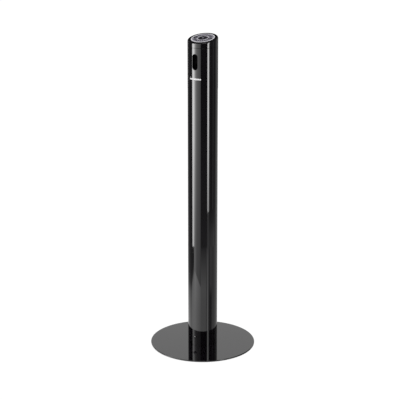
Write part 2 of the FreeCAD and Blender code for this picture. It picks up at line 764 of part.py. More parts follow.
# tapped holes for the grub screws
last = grooved
for side, turn in (("left", -1), ("right", 1)):
    tap = doc.addObject("Part::Cylinder", "cap_tap_" + side)
    bind(tap, "Radius", D.grub_dia / 2)
    bind(tap, "Height", D.tube_dia)
    # from the axis outwards, to one side of straight back
    a = 90.0 + turn * D.grub_swing.number
    direction = V(math.cos(math.radians(a)), math.sin(math.radians(a)), 0)
    tap.Placement = FreeCAD.Placement(V(0, 0, 0), FreeCAD.Rotation(V(0, 0, 1), direction))
    bind(tap, "Placement.Base.z", seam - D.grub_drop)
    drilled = doc.addObject("Part::Cut", "cap_tapped_" + side)
    drilled.Base, drilled.Tool = last, tap
    last = drilled
keep(last, "cap_shell")

# O-ring round the skirt
seal = doc.addObject("Part::Torus", "seal_ring")
bind(seal, "Radius1", seal_rad)
bind(seal, "Radius2", D.seal_wire / 2)
lift(seal, seam - D.seal_drop)
keep(seal, "cap_seal")

# grub screws: own Z points outwards, socket at the outer end
master = new_body("grub_screw")
sketch = new_sketch(master, "XZ_Plane", "grub_profile")
draw_loop(
    sketch,
    [
        (0, 0),
        (D.grub_dia / 2 - 0.8, 0),
        (D.grub_dia / 2, 0.8),
        (D.grub_dia / 2, D.grub_len - 0.3),
        (D.grub_dia / 2 - 0.3, D.grub_len),
        (0, D.grub_len),
    ],
)
revolve(master, sketch, "grub_turned")
sketch = new_sketch(
    master, "XY_Plane", "grub_socket", FreeCAD.Placement(V(0, 0, D.grub_len.number), FreeCAD.Rotation())
)
sketch.setExpression("AttachmentOffset.Base.z", D.grub_len.text)
draw_hexagon(sketch, D.grub_key)
pocket(master, sketch, D.key_depth, "grub_socket_cut")
master.Label = "grub_screw_pattern"
places = []
grub_root = tube_rad - D.grub_inset - D.grub_len
for side, turn in (("left", -1), ("right", 1)):
    a = 90.0 + turn * D.grub_swing.number
    direction = V(math.cos(math.radians(a)), math.sin(math.radians(a)), 0)
    link = doc.addObject("App::Link", "grub_screw_" + side)
    link.LinkedObject = master
    link.LinkPlacement = FreeCAD.Placement(
        V(direction.x * grub_root.number, direction.y * grub_root.number, (seam - D.grub_drop).number),
        FreeCAD.Rotation(V(0, 0, 1), direction),
    )
    swing = "(90 + %d * %s) * 1 deg" % (turn, D.grub_swing.text)
    link.setExpression("LinkPlacement.Base.x", "%s * cos(%s)" % (grub_root.text, swing))
    link.setExpression("LinkPlacement.Base.y", "%s * sin(%s)" % (grub_root.text, swing))
    link.setExpression("LinkPlacement.Base.z", (seam - D.grub_drop).text)
    places.append(link)
group = doc.addObject("Part::Compound", "grub_screw_group")
group.Links = places
keep(group, "cap_grub_screws")

# round metal disc in the recess of the slanted face
body = new_body("face_disc")
sketch = new_sketch(body, "XY_Plane", "disc_outline")
draw_circle(sketch, D.disc_dia / 2)
disc = pad(body, sketch, D.disc_thick, "disc_blank")
rim = round_edges(
    body, disc, D.disc_round, "disc_edge", lambda e: ring_at(e, D.disc_thick.number, D.disc_dia.number / 2)
)
body.Placement = FreeCAD.Placement(V(0, 0, 0), FreeCAD.Rotation(V(1, 0, 0), D.slant.number))
body.setExpression("Placement.Base.y", "%s * sin(%s * 1 deg)" % (D.recess_deep.text, D.slant.text))
body.setExpression(
    "Placement.Base.z", "%s - %s * cos(%s * 1 deg)" % (D.face_level.text, D.recess_deep.text, D.slant.text)
)
bind(body, "Placement.Rotation.Angle", D.slant)
keep(body, "face_disc")

# ------------------------------------------------------------------ inside of the post
# flat plate across the bore behind the slot; its sides meet the wall
sheet_block = doc.addObject("Part::Box", "baffle_block")
bind(sheet_block, "Length", D.tube_dia)
bind(sheet_block, "Width", D.baffle_thick)
bind(sheet_block, "Height", D.baffle_tall)
bind(sheet_block, "Placement.Base.x", -(D.tube_dia / 2))
bind(sheet_block, "Placement.Base.y", -D.baffle_back)
bind(sheet_block, "Placement.Base.z", D.baffle_foot)
limit = doc.addObject("Part::Cylinder", "baffle_limit")
bind(limit, "Radius", bore_rad)
bind(limit, "Height", D.baffle_tall)
lift(limit, D.baffle_foot)
baffle = doc.addObject("Part::Common", "baffle_plate")
baffle.Base, baffle.Tool = sheet_block, limit
keep(baffle, "slot_baffle")

# funnel: straight rim against the wall, cone, short spout; one turned profile
body = new_body("ash_funnel")
sketch = new_sketch(body, "XZ_Plane", "funnel_profile")
mouth, throat = bore_rad, D.throat_dia / 2
rim_foot = D.funnel_spout + D.funnel_cone
rim_top = rim_foot + D.funnel_rim
draw_loop(
    sketch,
    [
        (throat - D.funnel_wall, 0),
        (throat, 0),
        (throat, D.funnel_spout),
        (mouth, rim_foot),
        (mouth, rim_top),
        (mouth - D.funnel_wall, rim_top),
        (mouth - D.funnel_wall, rim_foot + D.funnel_wall * 0.5),
        (throat - D.funnel_wall, D.funnel_spout + D.funnel_wall * 0.5),
    ],
)
revolve(body, sketch, "funnel_turned")
lift(body, D.funnel_top - D.funnel_rim - D.funnel_cone - D.funnel_spout)
keep(body, "ash_funnel")

# ------------------------------------------------------------------ canister
body = new_body("canister_wall")
sketch = new_sketch(body, "XY_Plane", "can_outline")
draw_circle(sketch, D.can_dia / 2)
draw_circle(sketch, D.can_dia / 2 - D.can_wall)
pad(body, sketch, D.can_tall, "can_wall_pad")
# two rivet holes along X
sketch = new_sketch(body, "YZ_Plane", "can_rivet_hole")
draw_circle(sketch, D.rivet_dia / 2, 0, D.can_tall - D.rivet_drop)
pocket(body, sketch, D.can_dia + 10, "can_rivet_holes", both=True)
lift(body, flange_top)
can_top = flange_top + D.can_tall
spans = [(start, 30.0, flange_top, can_top) for start in range(-105, 255, 30)]
keep(staves(body, "canister_wall", flange_top, spans), "canister_wall")

body = new_body("canister_floor")
sketch = new_sketch(body, "XY_Plane", "can_floor_outline")
draw_circle(sketch, D.can_dia / 2 - D.can_wall)
pad(body, sketch, D.can_floor, "can_floor_disc")
lift(body, flange_top)
keep(body, "canister_floor")

body = new_body("canister_rim")
sketch = new_sketch(body, "XY_Plane", "band_outline")
draw_circle(sketch, D.can_dia / 2 - D.can_wall)
draw_circle(sketch, D.can_dia / 2 - D.can_wall - D.band_thick)
pad(body, sketch, D.band_tall * 1.5, "band_ring")
sketch = new_sketch(body, "YZ_Plane", "band_rivet_hole")
draw_circle(sketch, D.rivet_dia / 2, 0, D.band_tall * 1.5 - D.rivet_drop)
pocket(body, sketch, D.can_dia + 10, "band_rivet_holes", both=True)
lift(body, can_mouth - D.band_tall * 1.5)
keep(body, "canister_rim")

# ears: flat plates with a round top, drawn on YZ and lying against the wall at +X and -X
ear_sides = []
for side, sign in (("right", 1), ("left", -1)):
    body = new_body("ear_" + side)
    near = D.can_dia / 2 if sign > 0 else -(D.can_dia / 2 + D.ear_thick)
    offset = FreeCAD.Placement(V(0, 0, near.number), FreeCAD.Rotation())
    sketch = new_sketch(body, "YZ_Plane", "ear_outline_" + side, offset)
    sketch.setExpression("AttachmentOffset.Base.z", near.text)
    w, drop = D.ear_wide / 2, D.ear_drop
    wn, dn = w.number, drop.number
    sketch.addGeometry(Part.LineSegment(V(-wn, 0, 0), V(-wn, -dn, 0)), False)
    sketch.addGeometry(Part.LineSegment(V(-wn, -dn, 0), V(wn, -dn, 0)), False)
    sketch.addGeometry(Part.LineSegment(V(wn, -dn, 0), V(wn, 0, 0)), False)
    sketch.addGeometry(Part.ArcOfCircle(Part.Circle(V(0, 0, 0), V(0, 0, 1), wn), 0, math.pi), False)
    sketch.addConstraint(Sketcher.Constraint("Coincident", 0, 2, 1, 1))
    sketch.addConstraint(Sketcher.Constraint("Coincident", 1, 2, 2, 1))
    sketch.addConstraint(Sketcher.Constraint("Coincident", 2, 2, 3, 1))
    sketch.addConstraint(Sketcher.Constraint("Coincident", 3, 2, 0, 1))
    sketch.addConstraint(Sketcher.Constraint("Coincident", 3, 3, -1, 1))
    pin_point(sketch, 1, 1, -w, -drop)
    pin_point(sketch, 1, 2, w, -drop)
    sketch.addConstraint(Sketcher.Constraint("PointOnObject", 0, 1, -1))
    sketch.addConstraint(Sketcher.Constraint("PointOnObject", 2, 2, -1))
    at = sketch.addConstraint(Sketcher.Constraint("Radius", 3, wn))
    sketch.setExpression("Constraints[%d]" % at, w.text)
    hole = sketch.addGeometry(Part.Circle(V(0, 0, 0), V(0, 0, 1), D.ear_hole.number / 2), False)
    sketch.addConstraint(Sketcher.Constraint("Coincident", hole, 3, -1, 1))
    at = sketch.addConstraint(Sketcher.Constraint("Radius", hole, D.ear_hole.number / 2))
    sketch.setExpression("Constraints[%d]" % at, (D.ear_hole / 2).text)
    draw_circle(sketch, D.rivet_dia / 2, 0, -(D.pivot_over + D.rivet_drop))
    pad(body, sketch, D.ear_thick, "ear_plate_" + side)
    lift(body, pivot_level)
    body.Label = "ear_" + side
    ear_sides.append(body)
group = doc.addObject("Part::Compound", "ear_group")
group.Links = ear_sides
keep(group, "bail_ears")

# rivets: shank through ear, wall and band, a head at each end; own Z points outwards along X
master = new_body("rivet")
sketch = new_sketch(master, "XZ_Plane", "rivet_profile")
inner_face = D.can_dia / 2 - D.can_wall - D.band_thick
outer_face = D.can_dia / 2 + D.ear_thick
draw_loop(
    sketch,
    [
        (0, inner_face - D.rivet_high),
        (D.rivet_head / 2 - 0.8, inner_face - D.rivet_high),
        (D.rivet_head / 2, inner_face - 0.5),
        (D.rivet_head / 2, inner_face - 0.25),
        (D.rivet_dia / 2, inner_face - 0.25),
        (D.rivet_dia / 2, outer_face),
        (D.rivet_head / 2, outer_face),
        (D.rivet_head / 2, outer_face + 0.4),
        (D.rivet_head / 2 - 0.8, outer_face + D.rivet_high),
        (0, outer_face + D.rivet_high),
    ],
)
revolve(master, sketch, "rivet_turned")
master.Label = "rivet_pattern"
places = []
for i, sign in enumerate((1, -1)):
    link = doc.addObject("App::Link", "rivet_place%d" % i)
    link.LinkedObject = master
    link.LinkPlacement = FreeCAD.Placement(
        V(0, 0, (can_mouth - D.rivet_drop).number), FreeCAD.Rotation(V(0, 1, 0), 90.0 * sign)
    )
    link.setExpression("LinkPlacement.Base.z", (can_mouth - D.rivet_drop).text)
    places.append(link)
group = doc.addObject("Part::Compound", "rivet_group")
group.Links = places
keep(group, "ear_rivets")

# bail: round wire swept along pin, bend, half hoop, bend, pin; it lies flat over the mouth towards +Y
body = new_body("bail_handle")
path = new_sketch(body, "XY_Plane", "bail_path")
p, b, h = D.pin_end.number, D.bend_rad.number, D.hoop_rad.number
path.addGeometry(Part.LineSegment(V(p, 0, 0), V(h + b, 0, 0)), False)
path.addGeometry(
    Part.ArcOfCircle(Part.Circle(V(h + b, b, 0), V(0, 0, 1), b), math.pi, 1.5 * math.pi), False
)
path.addGeometry(Part.ArcOfCircle(Part.Circle(V(0, b, 0), V(0, 0, 1), h), 0, math.pi), False)
path.addGeometry(
    Part.ArcOfCircle(Part.Circle(V(-h - b, b, 0), V(0, 0, 1), b), 1.5 * math.pi, 2 * math.pi), False
)
path.addGeometry(Part.LineSegment(V(-h - b, 0, 0), V(-p, 0, 0)), False)
path.addConstraint(Sketcher.Constraint("Coincident", 0, 2, 1, 2))
path.addConstraint(Sketcher.Constraint("Coincident", 1, 1, 2, 1))
path.addConstraint(Sketcher.Constraint("Coincident", 2, 2, 3, 2))
path.addConstraint(Sketcher.Constraint("Coincident", 3, 1, 4, 1))
pin_point(path, 0, 1, D.pin_end, 0)
pin_point(path, 0, 2, D.hoop_rad + D.bend_rad, 0)
pin_point(path, 4, 2, -D.pin_end, 0)
pin_point(path, 4, 1, -(D.hoop_rad + D.bend_rad), 0)
pin_point(path, 1, 3, D.hoop_rad + D.bend_rad, D.bend_rad)
pin_value(path, "DistanceY", 3, 3, D.bend_rad)
pin_point(path, 2, 3, 0, D.bend_rad)
path.addConstraint(Sketcher.Constraint("Horizontal", 2, 1, 2, 3))
path.addConstraint(Sketcher.Constraint("Horizontal", 2, 2, 2, 3))
section = new_sketch(
    body, "YZ_Plane", "bail_section", FreeCAD.Placement(V(0, 0, p), FreeCAD.Rotation())
)
section.setExpression("AttachmentOffset.Base.z", D.pin_end.text)
draw_circle(section, D.wire_dia / 2)
doc.recompute()
pipe = body.newObject("PartDesign::AdditivePipe", "bail_wire")
pipe.Profile = section
pipe.Spine = (path, ["Edge1", "Edge2", "Edge3", "Edge4", "Edge5"])
doc.recompute()
lift(body, pivot_level)
keep(body, "bail_handle")

# ------------------------------------------------------------------ checks and files
doc.recompute()
for obj in doc.Objects:
    state = [str(s) for s in obj.State]
    if "Invalid" in state or "Error" in state:
        raise RuntimeError("%s is in state %s" % (obj.Label, state))

COUNTS = {"outer_tube": 15, "canister_wall": 12, "flange_screws": 3, "cap_grub_screws": 2, "bail_ears": 2, "ear_rivets": 2}
for obj in PARTS:
    shape = obj.Shape
    if shape.isNull() or not shape.isValid():
        raise RuntimeError(obj.Label + " has no valid shape")
    if len(shape.Solids) != COUNTS.get(obj.Label, 1):
        raise RuntimeError("%s holds %d solids" % (obj.Label, len(shape.Solids)))

os.makedirs("parts", exist_ok=True)
for obj in PARTS:
    box = obj.Shape.BoundBox
    print(
        "%-18s vol %11.1f  x %8.2f %8.2f  y %8.2f %8.2f  z %8.2f %8.2f"
        % (obj.Label, obj.Shape.Volume, box.XMin, box.XMax, box.YMin, box.YMax, box.ZMin, box.ZMax)
    )
    obj.Shape.exportStep("parts/%s.step" % obj.Label)
print("%d parts written" % len(PARTS))
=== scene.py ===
import math

import bmesh
import bpy
from mathutils import Matrix, Vector


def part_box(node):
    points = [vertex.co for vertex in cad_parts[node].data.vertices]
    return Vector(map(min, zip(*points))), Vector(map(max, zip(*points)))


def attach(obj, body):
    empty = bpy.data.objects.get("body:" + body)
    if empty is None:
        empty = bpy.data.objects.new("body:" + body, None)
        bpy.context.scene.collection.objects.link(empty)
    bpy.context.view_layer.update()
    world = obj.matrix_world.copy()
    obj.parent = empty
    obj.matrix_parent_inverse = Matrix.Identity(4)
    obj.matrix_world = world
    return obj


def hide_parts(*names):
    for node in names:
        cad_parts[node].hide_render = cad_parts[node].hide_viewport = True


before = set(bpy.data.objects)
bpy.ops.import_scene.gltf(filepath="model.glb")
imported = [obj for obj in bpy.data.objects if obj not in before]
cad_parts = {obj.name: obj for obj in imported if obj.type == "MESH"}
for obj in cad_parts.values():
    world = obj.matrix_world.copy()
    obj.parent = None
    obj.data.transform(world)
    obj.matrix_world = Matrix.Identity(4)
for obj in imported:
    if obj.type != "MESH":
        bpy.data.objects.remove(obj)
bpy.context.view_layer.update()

scene = bpy.context.scene
MM = 0.001


# ------------------------------------------------------------------ helpers
def lerp_stops(stops, x):
    """Piecewise straight line through (x, value) stops."""
    if x <= stops[0][0]:
        return stops[0][1]
    for (x0, v0), (x1, v1) in zip(stops, stops[1:]):
        if x <= x1:
            return v0 + (v1 - v0) * (x - x0) / max(x1 - x0, 1e-9)
    return stops[-1][1]


def link_mesh(name, verts, faces, sharp=28.0):
    mesh = bpy.data.meshes.new(name)
    mesh.from_pydata([tuple(v) for v in verts], [], faces)
    mesh.validate()
    bm = bmesh.new()
    bm.from_mesh(mesh)
    bmesh.ops.remove_doubles(bm, verts=bm.verts, dist=1e-7)
    bmesh.ops.recalc_face_normals(bm, faces=bm.faces)
    bm.to_mesh(mesh)
    bm.free()
    obj = bpy.data.objects.new(name, mesh)
    scene.collection.objects.link(obj)
    smooth(obj, sharp)
    return obj


def smooth(obj, sharp=28.0):
    mesh = obj.data
    mesh.polygons.foreach_set("use_smooth", [True] * len(mesh.polygons))
    mesh.set_sharp_from_angle(angle=math.radians(sharp))
    mesh.update()


def lathe(name, profile, segments=256, sharp=28.0, place=None):
    """A closed profile of (radius, height) points turned round the Z axis."""
    verts, faces = [], []
    count = len(profile)
    for i in range(segments):
        a = 2 * math.pi * i / segments
        for r, z in profile:
            verts.append(Vector((r * math.cos(a), r * math.sin(a), z)))
    if place is not None:
        verts = [place @ v for v in verts]
    for i in range(segments):
        j = (i + 1) % segments
        for k in range(count):
            m = (k + 1) % count
            if profile[k][0] < 1e-9 and profile[m][0] < 1e-9:
                continue
            quad = [i * count + k, j * count + k, j * count + m, i * count + m]
            if profile[k][0] < 1e-9:
                quad = [i * count + k, j * count + m, i * count + m]
            elif profile[m][0] < 1e-9:
                quad = [i * count + k, j * count + k, i * count + m]
            faces.append(quad)
    return link_mesh(name, verts, faces, sharp)


def arc(cx, cz, r, a0, a1, steps):
    """Points of a profile's round corner, angles in degrees from the outward direction."""
    out = []
    for i in range(steps + 1):
        a = math.radians(a0 + (a1 - a0) * i / steps)
        out.append((cx + r * math.cos(a), cz + r * math.sin(a)))
    return out


def cut(obj, cutters):
    for tool in cutters:
        mod = obj.modifiers.new("cut", "BOOLEAN")
        mod.operation = "DIFFERENCE"
        mod.solver = "EXACT"
        mod.object = tool
    graph = bpy.context.evaluated_depsgraph_get()
    mesh = bpy.data.meshes.new_from_object(obj.evaluated_get(graph))
    obj.modifiers.clear()
    old = obj.data
    obj.data = mesh
    bpy.data.meshes.remove(old)
    mesh.name = obj.name
    for tool in cutters:
        bpy.data.objects.remove(tool)
    smooth(obj)


def true_normals(obj, rule):
    """Sets the surface's own normals where rule(point, face normal) gives one."""
    mesh = obj.data
    normals = [c.vector.copy() for c in mesh.corner_normals]
    for poly in mesh.polygons:
        for li in poly.loop_indices:
            n = rule(mesh.vertices[mesh.loops[li].vertex_index].co, poly.normal)
            if n is not None:
                normals[li] = n
    mesh.normals_split_custom_set([tuple(n) for n in normals])


def piece(obj, body, material, replaced=()):
    obj.data.materials.clear()
    obj.data.materials.append(material)
    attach(obj, body)
    if replaced:
        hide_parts(*replaced)
    return obj


# ------------------------------------------------------------------ materials
class Nodes:
    def __init__(self, name):
        self.mat = bpy.data.materials.new(name)
        self.mat.use_nodes = True
        self.tree = self.mat.node_tree
        self.shader = self.tree.nodes["Principled BSDF"]

    def add(self, kind, **sockets):
        node = self.tree.nodes.new(kind)
        for key, value in sockets.items():
            node.inputs[key].default_value = value
        return node

    def join(self, a, out, b, into):
        self.tree.links.new(a.outputs[out], b.inputs[into])

    def noise(self, scale, detail=3.0, rough=0.5, stretch=None):
        coord = self.add("ShaderNodeTexCoord")
        tex = self.add("ShaderNodeTexNoise", Scale=scale, Detail=detail, Roughness=rough)
        if stretch:
            mapping = self.add("ShaderNodeMapping", Scale=stretch)
            self.join(coord, "Object", mapping, "Vector")
            self.join(mapping, "Vector", tex, "Vector")
        else:
            self.join(coord, "Object", tex, "Vector")
        return tex

    def spread(self, tex, low, high, from_low=0.3, from_high=0.7, out="Fac"):
        ramp = self.add("ShaderNodeMapRange")
        ramp.inputs["From Min"].default_value = from_low
        ramp.inputs["From Max"].default_value = from_high
        ramp.inputs["To Min"].default_value = low
        ramp.inputs["To Max"].default_value = high
        self.join(tex, out, ramp, "Value")
        return ramp

    def tint(self, tex, dark, light, from_low=0.35, from_high=0.65):
        ramp = self.add("ShaderNodeValToRGB")
        ramp.color_ramp.elements[0].position = from_low
        ramp.color_ramp.elements[0].color = (*dark, 1)
        ramp.color_ramp.elements[1].position = from_high
        ramp.color_ramp.elements[1].color = (*light, 1)
        self.join(tex, "Fac", ramp, "Fac")
        self.join(ramp, "Color", self.shader, "Base Color")
        return ramp

    def bump(self, tex, strength, distance, after=None):
        node = self.add("ShaderNodeBump", Strength=strength, Distance=distance)
        self.join(tex, "Fac", node, "Height")
        if after is not None:
            self.join(after, "Normal", node, "Normal")
        self.join(node, "Normal", self.shader, "Normal")
        return node


def gloss_black_paint():
    """Stoved gloss black: near-black with a trace of violet, slight dulling in broad patches, faint orange peel."""
    n = Nodes("gloss_black_paint")
    s = n.shader
    s.inputs["IOR"].default_value = 1.5
    patches = n.noise(9.0, 2.0)
    n.tint(patches, (0.0020, 0.0016, 0.0023), (0.0030, 0.0023, 0.0033))
    n.join(n.spread(n.noise(60.0, 4.0), 0.030, 0.050), "Result", s, "Roughness")
    n.bump(n.noise(420.0, 1.0), 0.010, 0.0002)
    return n.mat


def shade_black_paint():
    """The same paint inside the post, dulled by ash dust."""
    n = Nodes("inside_black_paint")
    s = n.shader
    s.inputs["IOR"].default_value = 1.5
    s.inputs["Specular IOR Level"].default_value = 0.25
    n.tint(n.noise(35.0, 5.0), (0.0040, 0.0036, 0.0042), (0.012, 0.011, 0.011))
    n.join(n.spread(n.noise(120.0, 4.0), 0.45, 0.7), "Result", s, "Roughness")
    n.bump(n.noise(700.0, 2.0), 0.12, 0.0004)
    return n.mat


def rubber_black():
    n = Nodes("rubber_black")
    s = n.shader
    n.tint(n.noise(90.0, 4.0), (0.010, 0.010, 0.010), (0.020, 0.019, 0.019))
    n.join(n.spread(n.noise(160.0, 3.0), 0.62, 0.82), "Result", s, "Roughness")
    n.bump(n.noise(1500.0, 2.0), 0.25, 0.0002)
    return n.mat


def zinc_steel():
    """Bright zinc plate: pale bluish grey with faint drawn lines."""
    n = Nodes("zinc_steel")
    s = n.shader
    s.inputs["Metallic"].default_value = 1.0
    n.tint(n.noise(45.0, 4.0), (0.46, 0.47, 0.49), (0.60, 0.61, 0.63))
    lines = n.noise(140.0, 3.0, stretch=(1.0, 1.0, 0.06))
    n.join(n.spread(lines, 0.22, 0.40), "Result", s, "Roughness")
    n.bump(lines, 0.08, 0.0002)
    return n.mat


def nylon_black():
    n = Nodes("nylon_black")
    s = n.shader
    n.tint(n.noise(50.0, 3.0), (0.013, 0.013, 0.014), (0.022, 0.022, 0.023))
    n.join(n.spread(n.noise(300.0, 3.0), 0.38, 0.52), "Result", s, "Roughness")
    n.bump(n.noise(900.0, 2.0), 0.10, 0.0002)
    return n.mat


def black_screw_steel():
    n = Nodes("black_screw_steel")
    s = n.shader
    s.inputs["Metallic"].default_value = 1.0
    n.tint(n.noise(260.0, 4.0), (0.052, 0.051, 0.053), (0.092, 0.090, 0.091))
    n.join(n.spread(n.noise(500.0, 3.0), 0.28, 0.45), "Result", s, "Roughness")
    n.bump(n.noise(1600.0, 2.0), 0.10, 0.0001)
    return n.mat


def canister_aluminium():
    """Drawn aluminium with fine lines round the axis and a soft bloom."""
    n = Nodes("canister_aluminium")
    s = n.shader
    s.inputs["Metallic"].default_value = 1.0
    n.tint(n.noise(30.0, 4.0), (0.235, 0.235, 0.240), (0.275, 0.275, 0.280))
    lines = n.noise(30.0, 4.0, stretch=(1.0, 1.0, 26.0))
    n.join(n.spread(lines, 0.50, 0.58), "Result", s, "Roughness")
    n.bump(lines, 0.03, 0.0001)
    return n.mat


def printed_disc():
    """Satin lavender-grey plate with a fine print grain."""
    n = Nodes("printed_disc")
    s = n.shader
    s.inputs["IOR"].default_value = 1.5
    n.tint(n.noise(140.0, 4.0), (0.262, 0.252, 0.295), (0.330, 0.318, 0.368))
    n.join(n.spread(n.noise(900.0, 3.0), 0.20, 0.32), "Result", s, "Roughness")
    n.bump(n.noise(2200.0, 1.0), 0.05, 0.0001)
    return n.mat


def disc_ink():
    n = Nodes("disc_ink")
    s = n.shader
    n.tint(n.noise(300.0, 3.0), (0.010, 0.009, 0.014), (0.022, 0.019, 0.028))
    n.join(n.spread(n.noise(900.0, 3.0), 0.25, 0.38), "Result", s, "Roughness")
    return n.mat


def white_print():
    n = Nodes("white_print")
    s = n.shader
    n.tint(n.noise(400.0, 3.0), (0.80, 0.79, 0.80), (0.90, 0.90, 0.90))
    n.join(n.spread(n.noise(900.0, 3.0), 0.35, 0.50), "Result", s, "Roughness")
    n.bump(n.noise(1800.0, 1.0), 0.04, 0.0001)
    return n.mat


PAINT = gloss_black_paint()
INSIDE = shade_black_paint()
RUBBER = rubber_black()
ZINC = zinc_steel()
NYLON = nylon_black()
SCREW = black_screw_steel()
ALU = canister_aluminium()
PRINTED = printed_disc()
INK = disc_ink()
WHITE = white_print()

CARRIED = {
    "anti_slip_ring": RUBBER,
    "foot_ring": PAINT,
    "socket_flange": ZINC,
    "flange_screws": ZINC,
    "socket_tube": ZINC,
    "guide_sleeve": NYLON,
    "lock_boss": ZINC,
    "cap_seal": RUBBER,
    "cap_grub_screws": SCREW,
    "slot_baffle": INSIDE,
    "ash_funnel": INSIDE,
    "lock_washer": SCREW,
    "lock_screw": SCREW,
    "canister_wall": ALU,
    "canister_floor": ALU,
    "canister_rim": ALU,
    "bail_ears": ALU,
    "ear_rivets": ALU,
    "bail_handle": ZINC,
}
for name, material in CARRIED.items():
    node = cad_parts[name]
    if not node.material_slots:
        node.data.materials.append(None)
    for place in node.material_slots:
        place.link = "OBJECT"
        place.material = material

# ------------------------------------------------------------------ measures from the frame
tube_low, tube_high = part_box("outer_tube")
R = tube_high.x
FOOT, SEAM = tube_low.z, tube_high.z
plate_low, plate_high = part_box("base_plate")
label_low, label_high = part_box("front_label")
funnel_low, funnel_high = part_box("ash_funnel")
baffle_low, baffle_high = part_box("slot_baffle")
cap_low, cap_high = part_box("cap_shell")
lock_low, lock_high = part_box("lock_screw")
wall_low, wall_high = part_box("canister_wall")
ear_low, ear_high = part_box("ear_rivets")
WALL = 1.5 * MM
SLOT_HALF = 9.25 * MM
SLOT_MID = 942.2 * MM
SLOT_TALL = 50.0 * MM
SLOPE = math.radians(12.0)
ROUND = 4.5 * MM
LOCK_LEVEL = (lock_low.z + lock_high.z) / 2
# height of the slanted face on the axis, from the cap's highest point
FACE = cap_high.z - (R - ROUND) * math.tan(SLOPE) + ROUND / math.cos(SLOPE) - ROUND
FACE_N = Vector((0.0, -math.sin(SLOPE), math.cos(SLOPE)))
FACE_E = Vector((0.0, math.cos(SLOPE), math.sin(SLOPE)))
FACE_FRAME = Matrix(
    (
        (1.0, FACE_E.x, FACE_N.x, 0.0),
        (0.0, FACE_E.y, FACE_N.y, 0.0),
        (0.0, FACE_E.z, FACE_N.z, FACE),
        (0.0, 0.0, 0.0, 1.0),
    )
)


# ------------------------------------------------------------------ post tube
def stadium(grow, steps=24):
    """Outline of the slot, grown by a distance, as (x, z) points."""
    r = SLOT_HALF + grow
    straight = SLOT_TALL / 2 - SLOT_HALF
    out = []
    for i in range(steps + 1):
        a = math.pi * i / steps
        out.append((r * math.cos(a), SLOT_MID + straight + r * math.sin(a)))
    for i in range(steps + 1):
        a = math.pi + math.pi * i / steps
        out.append((r * math.cos(a), SLOT_MID - straight + r * math.sin(a)))
    return out


def flared_cutter(name, outline, soft, back):
    """A plug along Y that follows outline(grow) and opens by soft at the post's outer face."""
    inner, outer = outline(0.0), outline(soft)
    rings = [
        [Vector((x, -R - 8 * MM, z)) for x, z in outer],
        [Vector((x, -math.sqrt(R * R - x * x) - 0.01 * MM, z)) for x, z in outer],
        [Vector((x, -math.sqrt(R * R - x * x) + soft, z)) for x, z in inner],
        [Vector((x, back, z)) for x, z in inner],
    ]
    n = len(inner)
    verts = [v for ring in rings for v in ring]
    faces = [list(range(n)), list(range(3 * n, 4 * n))[::-1]]
    for k in range(3):
        for i in range(n):
            j = (i + 1) % n
            faces.append([k * n + i, (k + 1) * n + i, (k + 1) * n + j, k * n + j])
    return link_mesh(name, verts, faces)


def hole_outline(level, radius, turn=0.0, steps=40):
    def outline(grow):
        return [
            (
                (radius + grow) * math.cos(2 * math.pi * i / steps),
                level + (radius + grow) * math.sin(2 * math.pi * i / steps),
            )
            for i in range(steps)
        ]

    return outline


tube_profile = (
    [(R - WALL, FOOT + 0.3 * MM), (R - WALL + 0.3 * MM, FOOT)]
    + arc(R - 0.35 * MM, FOOT + 0.35 * MM, 0.35 * MM, -90, 0, 4)
    + [(R, SEAM - 0.5 * MM), (R - 0.5 * MM, SEAM), (R - WALL, SEAM)]
)
post = lathe("post_tube", tube_profile, segments=288)
slot_cutter = flared_cutter("slot_cutter", stadium, 0.25 * MM, -30 * MM)
lock_cutter = flared_cutter("lock_cutter", hole_outline(LOCK_LEVEL, 3.3 * MM), 0.2 * MM, -30 * MM)
grubs = []
for side in (-1, 1):
    tool = flared_cutter("grub_cutter", hole_outline(SEAM - 5 * MM, 2.7 * MM), 0.2 * MM, -30 * MM)
    tool.data.transform(Matrix.Rotation(math.pi + math.radians(30.0 * side), 4, "Z"))
    grubs.append(tool)
cut(post, [slot_cutter, lock_cutter] + grubs)


def post_rule(co, n):
    flat = math.hypot(co.x, co.y)
    if abs(n.z) < 0.01:
        if flat > R - 0.03 * MM and n.x * co.x + n.y * co.y > 0.985 * flat:
            return Vector((co.x / flat, co.y / flat, 0.0))
        if flat < R - WALL + 0.03 * MM and n.x * co.x + n.y * co.y < -0.985 * flat:
            return Vector((-co.x / flat, -co.y / flat, 0.0))
    return None


true_normals(post, post_rule)
piece(post, "pole", PAINT, ["outer_tube"])
post.data.materials.append(INSIDE)
for poly in post.data.polygons:
    c = poly.center
    if math.hypot(c.x, c.y) < R - 0.45 * MM:
        poly.material_index = 1


